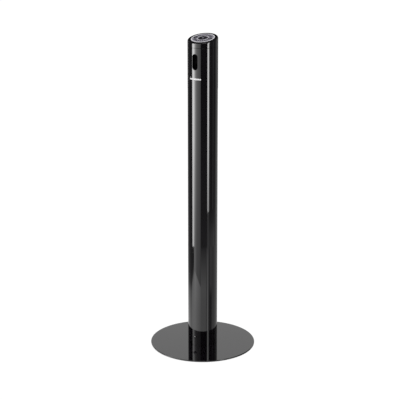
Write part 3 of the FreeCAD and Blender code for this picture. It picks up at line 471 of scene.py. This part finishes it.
# ------------------------------------------------------------------ cap
SEG = 288
cap_verts, cap_faces, cap_normals = [], [], {}
columns = []
ARC = 14
for i in range(SEG):
    a = 2 * math.pi * i / SEG
    u = Vector((math.cos(a), math.sin(a), 0.0))
    side = R - ROUND
    centre = Vector((side * u.x, side * u.y, FACE + side * u.y * math.tan(SLOPE) - ROUND / math.cos(SLOPE)))
    swing = u.angle(FACE_N)
    column = [
        (u * (R - 1.7 * MM) + Vector((0, 0, SEAM - 15.5 * MM)), None),
        (u * (R - 1.7 * MM) + Vector((0, 0, SEAM)), None),
        (u * (R - 0.5 * MM) + Vector((0, 0, SEAM)), None),
        (u * R + Vector((0, 0, SEAM + 0.5 * MM)), None),
    ]
    for k in range(ARC + 1):
        t = k / ARC
        d = (u * math.sin((1 - t) * swing) + FACE_N * math.sin(t * swing)) / math.sin(swing)
        column.append((centre + d * ROUND, d))
    for radius, depth in ((38.2, 0.0), (38.0, -0.2), (38.0, -1.5), (0.0, -1.5)):
        local = Vector((radius * MM * math.cos(a), radius * MM * math.sin(a), depth * MM))
        column.append((FACE_FRAME @ local, None))
    # inside: hollow from the skirt up to the underside of the roof
    roof = FACE - 6.0 * MM / math.cos(SLOPE)
    column.append((Vector((0, 0, roof)), None))
    column.append((Vector((41 * MM * u.x, 41 * MM * u.y, roof + 41 * MM * u.y * math.tan(SLOPE))), None))
    column.append((u * 41 * MM + Vector((0, 0, SEAM - 15.5 * MM)), None))
    columns.append(column)
depth_n = len(columns[0])
for column in columns:
    cap_verts += [co for co, _ in column]
tip_outer, tip_inner = 4 + ARC + 1 + 3, 4 + ARC + 1 + 4
for i in range(SEG):
    j = (i + 1) % SEG
    for k in range(depth_n):
        m = (k + 1) % depth_n
        if k == tip_outer and m == tip_inner:
            continue
        if m == tip_outer:
            cap_faces.append([i * depth_n + k, j * depth_n + k, i * depth_n + m])
        elif k == tip_inner:
            cap_faces.append([i * depth_n + k, j * depth_n + m, i * depth_n + m])
        else:
            cap_faces.append([i * depth_n + k, j * depth_n + k, j * depth_n + m, i * depth_n + m])
cap = link_mesh("cap_skin", cap_verts, cap_faces)
for column in columns:
    for co, d in column:
        if d is not None:
            cap_normals[(round(co.x, 7), round(co.y, 7), round(co.z, 7))] = d


def cap_rule(co, n):
    flat = math.hypot(co.x, co.y)
    found = cap_normals.get((round(co.x, 7), round(co.y, 7), round(co.z, 7)))
    if found is not None and n.dot(found) > 0.7:
        return found
    if flat > R - 0.02 * MM and abs(n.z) < 0.01:
        return Vector((co.x / flat, co.y / flat, 0.0))
    return None


true_normals(cap, cap_rule)
piece(cap, "pole", PAINT, ["cap_shell"])


# ------------------------------------------------------------------ printed disc in the slanted face
def on_face(name, profile, segments=192):
    return lathe(name, profile, segments, place=FACE_FRAME)


TOP = -0.1 * MM
plate_r = 37.7 * MM
disc = on_face(
    "face_plate",
    [(0.0, -1.5 * MM), (plate_r, -1.5 * MM)]
    + arc(plate_r - 0.3 * MM, TOP - 0.3 * MM, 0.3 * MM, 0, 90, 5)
    + [(0.0, TOP)],
)
piece(disc, "pole", PRINTED, ["face_disc"])


def face_marks(name, marks, thick):
    """Low printed marks on the disc: each is (inner radius, outer radius, middle angle, half swing, centre), in mm and degrees."""
    verts, faces = [], []
    for r0, r1, mid, half, (cx, cy) in marks:
        steps = max(2, int(half / 2.0) + 1)
        whole = half >= 179.9
        steps = 128 if whole else steps
        start = len(verts)
        for s in range(steps + 1):
            a = math.radians(mid - half + 2 * half * s / steps)
            for r in (r0, r1):
                for h in (TOP - 0.02 * MM, TOP + thick):
                    verts.append(FACE_FRAME @ Vector(((cx + r * math.cos(a)) * MM, (cy + r * math.sin(a)) * MM, h)))
        for s in range(steps):
            a, b = start + 4 * s, start + 4 * (s + 1)
            faces += [
                [a + 1, b + 1, b + 3, a + 3],
                [a, a + 2, b + 2, b],
                [a + 2, a + 3, b + 3, b + 2],
                [a, b, b + 1, a + 1],
            ]
        if not whole:
            e = start + 4 * steps
            faces += [[start, start + 1, start + 3, start + 2], [e, e + 2, e + 3, e + 1]]
    return link_mesh(name, verts, faces)


MIDDLE = (0.0, 0.0)
dark = [(3.0, 15.2, 0.0, 180.0, MIDDLE)]
for k in range(24):
    at = 15.0 * k
    if min(at % 180.0, 180.0 - at % 180.0) > 29.0:
        dark.append((21.0, 31.0 if k % 2 else 28.5, at, 4.0 if k % 2 else 5.2, MIDDLE))
for side in (-1, 1):
    dark.append((2.6, 7.4, 0.0, 180.0, (side * 25.2, 0.0)))
    dark.append((0.0, 1.4, 0.0, 180.0, (side * 25.2, 0.0)))
ink = face_marks("face_ink", dark, 0.03 * MM)
piece(ink, "pole", INK)
light = [(34.4, 36.4, 0.0, 180.0, MIDDLE), (17.2, 18.0, 0.0, 180.0, MIDDLE)]
line = face_marks("face_lines", light, 0.035 * MM)
piece(line, "pole", WHITE)

# ------------------------------------------------------------------ front label: a row of plain white bars on the post
widths = [2.6, 1.5, 2.9, 2.0, 3.1, 1.6, 2.4, 2.8, 1.7, 3.0, 2.2, 2.7]
gap = 0.85
row = sum(widths) + gap * (len(widths) - 1)
row_scale = 39.6 / row
verts, faces = [], []
x = -19.8
mid_z = (label_low.z + label_high.z) / 2
half_z = (label_high.z - label_low.z) / 2
for w in widths:
    w *= row_scale
    steps = 4
    start = len(verts)
    for s in range(steps + 1):
        chord = (x + w * s / steps) * MM
        a = chord / R
        for r in (R - 0.05 * MM, R + 0.12 * MM):
            for z in (mid_z - half_z * 0.96, mid_z + half_z * 0.96):
                verts.append(Vector((r * math.sin(a), -r * math.cos(a), z)))
    for s in range(steps):
        a, b = start + 4 * s, start + 4 * (s + 1)
        faces += [
            [a + 2, b + 2, b + 3, a + 3],
            [a, a + 1, b + 1, b],
            [a + 1, a + 3, b + 3, b + 1],
            [a, b, b + 2, a + 2],
        ]
    e = start + 4 * steps
    faces += [[start, start + 2, start + 3, start + 1], [e, e + 1, e + 3, e + 2]]
    x += w + gap * row_scale
label = link_mesh("front_label_bars", verts, faces)
piece(label, "pole", WHITE, ["front_label"])

# ------------------------------------------------------------------ foot plate
PLATE_R = plate_high.x
edge = 1.2 * MM
foot = lathe(
    "foot_plate",
    [(0.0, plate_low.z), (PLATE_R - 0.4 * MM, plate_low.z)]
    + arc(PLATE_R - 0.4 * MM, plate_low.z + 0.4 * MM, 0.4 * MM, -90, 0, 4)
    + arc(PLATE_R - edge, plate_high.z - edge, edge, 0, 90, 8)
    + [(0.0, plate_high.z)],
    segments=384,
)
tools = []
for k in range(3):
    a = math.radians(90 + 120 * k)
    tool = lathe(
        "screw_cutter",
        [(0.0, -1 * MM), (7.0 * MM + 2.5 * MM, -1 * MM), (3.0 * MM, 3.0 * MM + 2.5 * MM), (3.0 * MM, 7 * MM), (0.0, 7 * MM)],
        segments=48,
    )
    tool.data.transform(Matrix.Translation((25 * MM * math.cos(a), 25 * MM * math.sin(a), 0.0)))
    tools.append(tool)
cut(foot, tools)


def foot_rule(co, n):
    flat = math.hypot(co.x, co.y)
    if n.z > 0.9995:
        return Vector((0.0, 0.0, 1.0))
    if flat > PLATE_R - edge - 0.02 * MM and co.z > plate_high.z - edge - 0.02 * MM:
        d = Vector((co.x / flat * (flat - PLATE_R + edge), co.y / flat * (flat - PLATE_R + edge), co.z - plate_high.z + edge))
        return d.normalized()
    return None


true_normals(foot, foot_rule)
piece(foot, "base", PAINT, ["base_plate"])

# ------------------------------------------------------------------ canister wall, smooth and without seams
can_r, can_in = wall_high.x, wall_high.x - 0.8 * MM
can = lathe(
    "canister_skin",
    [
        (can_in, wall_low.z),
        (can_r - 0.2 * MM, wall_low.z),
        (can_r, wall_low.z + 0.2 * MM),
        (can_r, wall_high.z - 0.2 * MM),
        (can_r - 0.2 * MM, wall_high.z),
        (can_in, wall_high.z),
    ],
    segments=192,
)
rivet_z = (ear_low.z + ear_high.z) / 2
tool = lathe("rivet_cutter", [(0.0, -60 * MM), (2.0 * MM, -60 * MM), (2.0 * MM, 60 * MM), (0.0, 60 * MM)], segments=32)
tool.data.transform(Matrix.Translation((0, 0, rivet_z)) @ Matrix.Rotation(math.pi / 2, 4, "Y"))
cut(can, [tool])
piece(can, "canister", ALU, ["canister_wall"])

# ------------------------------------------------------------------ camera
HEADING = 31.3
DISTANCE, HEIGHT = 3.9615, 1.6795
camera_data = bpy.data.cameras.new("camera")
camera = bpy.data.objects.new("camera", camera_data)
scene.collection.objects.link(camera)
camera_data.lens = 116.45
camera_data.sensor_width = 36.0
camera_data.clip_start, camera_data.clip_end = 0.05, 60.0
camera.location = (
    math.sin(math.radians(HEADING)) * DISTANCE,
    -math.cos(math.radians(HEADING)) * DISTANCE,
    HEIGHT,
)
camera.rotation_euler = (math.radians(90 - 16.728), 0.0, math.radians(HEADING + 0.1266))
scene.camera = camera

# ------------------------------------------------------------------ studio
world = bpy.data.worlds.new("studio")
scene.world = world
world.use_nodes = True
background = world.node_tree.nodes["Background"]
background.inputs["Color"].default_value = (1.0, 1.0, 1.0, 1.0)
background.inputs["Strength"].default_value = 1.035
scene.view_settings.view_transform = "Standard"
scene.view_settings.look = "None"
scene.view_settings.exposure = 0.0
scene.view_settings.gamma = 1.0


def glow_material():
    mat = bpy.data.materials.new("light_card")
    mat.use_nodes = True
    tree = mat.node_tree
    tree.nodes.clear()
    out = tree.nodes.new("ShaderNodeOutputMaterial")
    glow = tree.nodes.new("ShaderNodeEmission")
    level = tree.nodes.new("ShaderNodeAttribute")
    level.attribute_type = "GEOMETRY"
    level.attribute_name = "glow"
    tree.links.new(level.outputs["Fac"], glow.inputs["Strength"])
    tree.links.new(glow.outputs["Emission"], out.inputs["Surface"])
    return mat


GLOW = glow_material()


def heading(swing):
    """Level direction that is swing degrees to the right of the camera, seen from the post."""
    a = math.radians(HEADING + swing)
    return Vector((math.sin(a), -math.cos(a), 0.0))


def spot(swing, reach, z):
    """Where a ray mirrored by the post towards swing is, reach metres from the post's face."""
    p = heading(swing / 2) * R + heading(swing) * reach
    return Vector((p.x, p.y, z))


def reach_to(swing, radius):
    s = math.radians(swing / 2)
    return math.sqrt(radius * radius - (R * math.sin(s)) ** 2) - R * math.cos(s)


def card(name, points, columns, rows, levels):
    mesh = bpy.data.meshes.new(name)
    faces = []
    for i in range(columns - 1):
        for k in range(rows - 1):
            a = i * rows + k
            faces.append((a, a + rows, a + rows + 1, a + 1))
    mesh.from_pydata([tuple(p) for p in points], [], faces)
    glow = mesh.attributes.new("glow", "FLOAT", "POINT")
    glow.data.foreach_set("value", levels)
    mesh.materials.append(GLOW)
    obj = bpy.data.objects.new(name, mesh)
    scene.collection.objects.link(obj)
    obj.visible_camera = False
    obj.visible_diffuse = False
    obj.visible_transmission = False
    obj.visible_volume_scatter = False
    obj.visible_shadow = False
    return obj


def wall_card(name, swing_stops, radius, heights):
    """An upright curved card round the post. Its light is a run of stops across, times a run of stops up that is given at one or more headings. radius may differ between the two edges."""
    first, last = swing_stops[0][0], swing_stops[-1][0]
    r_first, r_last = radius if isinstance(radius, tuple) else (radius, radius)
    steps = max(2, int(abs(last - first) / 1.0) + 1)
    low, high = heights[0][1][0][0], heights[0][1][-1][0]
    rows = 41
    points, levels = [], []
    for i in range(steps + 1):
        t = i / steps
        b = first + (last - first) * t
        for k in range(rows):
            # rows stand closer together near the floor
            z = low + (high - low) * (k / (rows - 1)) ** 1.6
            up = lerp_stops([(at, lerp_stops(stops, z)) for at, stops in heights], b)
            points.append(spot(b, reach_to(b, r_first + (r_last - r_first) * t), z))
            levels.append(lerp_stops(swing_stops, b) * up)
    return card(name, points, steps + 1, rows, levels)


def floor_card(name, first, last, stops):
    """A sheet of light on the floor between two headings: stops are (distance, level at first, level at last), or carry their own distance for last as (distance, level, distance, level)."""
    steps = max(2, int(abs(last - first) / 1.0) + 1)
    rows = 61
    stops = [s if len(s) == 4 else (s[0], s[1], s[0], s[2]) for s in stops]
    at_first = [(s[0], s[1]) for s in stops]
    at_last = [(s[2], s[3]) for s in stops]
    low, high = at_first[0][0], max(at_first[-1][0], at_last[-1][0])
    points, levels = [], []
    for i in range(steps + 1):
        t = i / steps
        b = first + (last - first) * t
        here = [
            ((1 - t) * p[0] + t * q[0], (1 - t) * p[1] + t * q[1])
            for p, q in zip(at_first, at_last)
        ]
        for k in range(rows):
            d = low + (high - low) * k / (rows - 1)
            points.append(spot(b, d, -1.5 * MM))
            levels.append(lerp_stops(here, d))
    return card(name, points, steps + 1, rows, levels)


FLAT = [(0, [(0.0, 1.0), (1.75, 1.0)])]
# upright cards: a bright strip and a graded panel on the left, a thin strip on the right, dark flags between them
wall_card(
    "strip_left",
    [(-87.7, 8.6), (-83, 11.3), (-76, 13.0), (-68, 12.4)],
    1.05,
    [(-80, [(0.0, 0.66), (0.11, 0.70), (0.35, 0.84), (0.55, 1.0), (1.75, 1.0)])],
)
wall_card(
    "panel_left",
    [(-70.5, 11.5), (-67, 10.0), (-62, 6.4), (-58, 4.9), (-50, 2.95), (-42, 2.2), (-34, 1.85), (-26, 1.55), (-20, 1.3), (-15.5, 1.0)],
    (0.79, 0.60),
    [
        (-70, [(0.0, 0.20), (0.10, 0.23), (0.20, 0.37), (0.31, 0.50), (0.40, 0.65), (0.51, 0.88), (0.64, 1.0), (1.75, 1.0)]),
        (-58, [(0.0, 0.38), (0.10, 0.41), (0.20, 0.49), (0.31, 0.63), (0.40, 0.72), (0.51, 0.88), (0.64, 1.0), (1.75, 1.0)]),
        (-26, [(0.0, 0.66), (0.10, 0.67), (0.20, 0.74), (0.31, 0.77), (0.40, 0.84), (0.51, 0.90), (0.64, 1.0), (1.75, 1.0)]),
    ],
)
wall_card("dark_middle", [(-15.5, 0.05), (34.8, 0.05)], 1.05, [(0, [(0.0, 4.5), (0.12, 3.6), (0.35, 2.4), (0.7, 1.0), (1.75, 1.0)])])
wall_card("strip_right", [(34.8, 6.0), (37.6, 10.5), (42.4, 14.4), (45.6, 9.8), (50.2, 2.7)], 1.05, [(0, [(0.15, 0.50), (0.3, 0.70), (0.57, 1.0), (1.75, 1.0)])])
wall_card("strip_right_foot", [(34.8, 0.7), (50.2, 0.7)], 1.05, [(0, [(0.0, 1.0), (0.15, 0.9)])])
wall_card(
    "dark_right",
    [(50.2, 0.42), (57, 0.13), (78, 0.10), (84, 0.30), (88, 0.30), (92, 0.10), (98, 0.10), (106, 0.13)],
    1.05,
    [(0, [(0.155, 1.5), (0.35, 1.2), (0.6, 1.0), (1.75, 1.0)])],
)
wall_card("dark_right_foot", [(50.2, 0.5), (106, 0.6)], 1.05, [(0, [(0.0, 1.0), (0.05, 0.9), (0.11, 0.5), (0.155, 0.35)])])
wall_card("ramp_right", [(106, 0.14), (114, 0.28), (122, 0.42), (166, 0.50)], 1.05, [(0, [(0.0, 1.3), (0.3, 1.2), (0.6, 1.0), (1.75, 0.9)])])
wall_card("dark_left", [(-125, 0.11), (-87.7, 0.10)], 1.05, [(0, [(0.0, 1.6), (0.3, 1.2), (0.6, 1.0), (1.75, 1.0)])])
wall_card("edge_left", [(-166, 0.30), (-145, 0.22), (-125, 0.12)], 1.05, [(0, [(0.0, 1.3), (0.3, 1.15), (0.6, 1.0), (1.75, 0.9)])])

# light on the floor, seen only in reflections
floor_card("pool_middle", -15.5, 28, [(0.0, 1.30, 1.15), (0.35, 1.3, 1.2), (0.55, 1.35, 1.3), (1.03, 0.30, 0.25), (1.2, 0.2, 0.2)])
floor_card(
    "pool_left",
    -66.0,
    -15.5,
    [(0.0, 2.45, 0.0, 1.45), (0.3, 2.6, 0.3, 1.5), (0.45, 2.9, 0.45, 1.65), (0.66, 3.2, 0.58, 1.65), (0.85, 2.8, 0.66, 1.5)],
)
floor_card(
    "pool_strip",
    -92.0,
    -66.0,
    [(0.0, 2.0, 0.0, 2.4), (0.45, 2.0, 0.60, 2.6), (0.56, 1.6, 0.72, 2.5), (0.63, 0.3, 0.80, 1.2), (0.70, 0.16, 0.90, 0.4), (1.2, 0.16, 1.2, 0.3)],
)
floor_card(
    "pool_far_left",
    -166,
    -92,
    [(0.0, 0.95, 0.0, 1.6), (0.25, 0.9, 0.25, 1.45), (0.40, 0.68, 0.40, 1.25), (0.50, 0.55, 0.50, 1.0), (0.62, 0.42, 0.58, 0.35), (0.75, 0.32, 0.70, 0.2), (1.0, 0.27, 1.0, 0.16), (1.3, 0.25, 1.3, 0.15)],
)
floor_card("pool_gap", 28, 34, [(0.0, 0.30, 0.9), (0.9, 0.5, 0.9), (1.2, 0.3, 0.5)])
floor_card("pool_streak", 34, 45, [(0.0, 2.2, 1.4), (0.5, 1.8, 1.5), (0.85, 1.2, 1.3), (1.0, 0.8, 0.8), (1.2, 0.6, 0.6)])
floor_card("pool_after", 45, 50, [(0.0, 0.7, 0.3), (0.6, 0.9, 0.5), (1.2, 0.7, 0.4)])
floor_card("pool_dark", 50, 57, [(0.0, 0.25, 0.22), (0.55, 0.27, 0.3), (1.3, 0.3, 0.4)])
floor_card("pool_right", 57, 76, [(0.0, 0.18, 0.20), (0.46, 0.2, 0.25), (0.58, 0.62, 0.60), (1.3, 0.62, 0.60)])
floor_card("pool_edge", 76, 106, [(0.0, 0.68, 0.62), (0.5, 0.50, 0.50), (1.3, 0.45, 0.42)])
floor_card("pool_far_right", 106, 166, [(0.0, 0.66, 0.62), (0.5, 0.55, 0.55), (1.5, 0.50, 0.50)])


def canopy(name, first, last, low, high, level_low, level_high, radius=3.0):
    """Part of a dome over the post, between two headings and two heights above the level, in degrees, seen from its top."""
    steps, rows = max(2, int(abs(last - first) / 4.0) + 1), 16
    points, levels = [], []
    for i in range(steps + 1):
        b = first + (last - first) * i / steps
        for k in range(rows):
            up = math.radians(low + (high - low) * k / (rows - 1))
            d = heading(b) * (radius * math.cos(up))
            points.append(Vector((d.x, d.y, 1.0 + radius * math.sin(up))))
            levels.append(level_low + (level_high - level_low) * k / (rows - 1))
    return card(name, points, steps + 1, rows, levels)


# the studio is white up to a little over head height and dark above it, with one soft box overhead
canopy("canopy", -180, 180, 26.5, 90, 0.12, 0.10)
canopy("overhead_box", -24, 34, 58, 86, 3.2, 2.6, radius=2.6)

# a dark flag close behind the cap, above anything that the foot plate reflects
wall_card("flag_back", [(154, 0.03), (206, 0.03)], 0.55, [(0, [(0.74, 1.0), (1.45, 1.0)])])

# the floor that the camera sees
floor_mesh = bpy.data.meshes.new("floor")
span = 9.0
grid = 18
points = [
    (-span + 2 * span * i / grid, -span + 2 * span * k / grid, -0.2 * MM)
    for i in range(grid + 1)
    for k in range(grid + 1)
]
quads = [
    (i * (grid + 1) + k, (i + 1) * (grid + 1) + k, (i + 1) * (grid + 1) + k + 1, i * (grid + 1) + k + 1)
    for i in range(grid)
    for k in range(grid)
]
floor_mesh.from_pydata(points, [], quads)
floor = bpy.data.objects.new("floor", floor_mesh)
scene.collection.objects.link(floor)
floor.visible_glossy = False
paper = bpy.data.materials.new("floor_paper")
paper.use_nodes = True
paper_shader = paper.node_tree.nodes["Principled BSDF"]
paper_shader.inputs["Base Color"].default_value = (0.12, 0.12, 0.12, 1.0)
paper_shader.inputs["Roughness"].default_value = 1.0
paper_shader.inputs["Specular IOR Level"].default_value = 0.0
paper_shader.inputs["Emission Color"].default_value = (1.0, 1.0, 1.0, 1.0)
paper_shader.inputs["Emission Strength"].default_value = 0.93
floor_mesh.materials.append(paper)
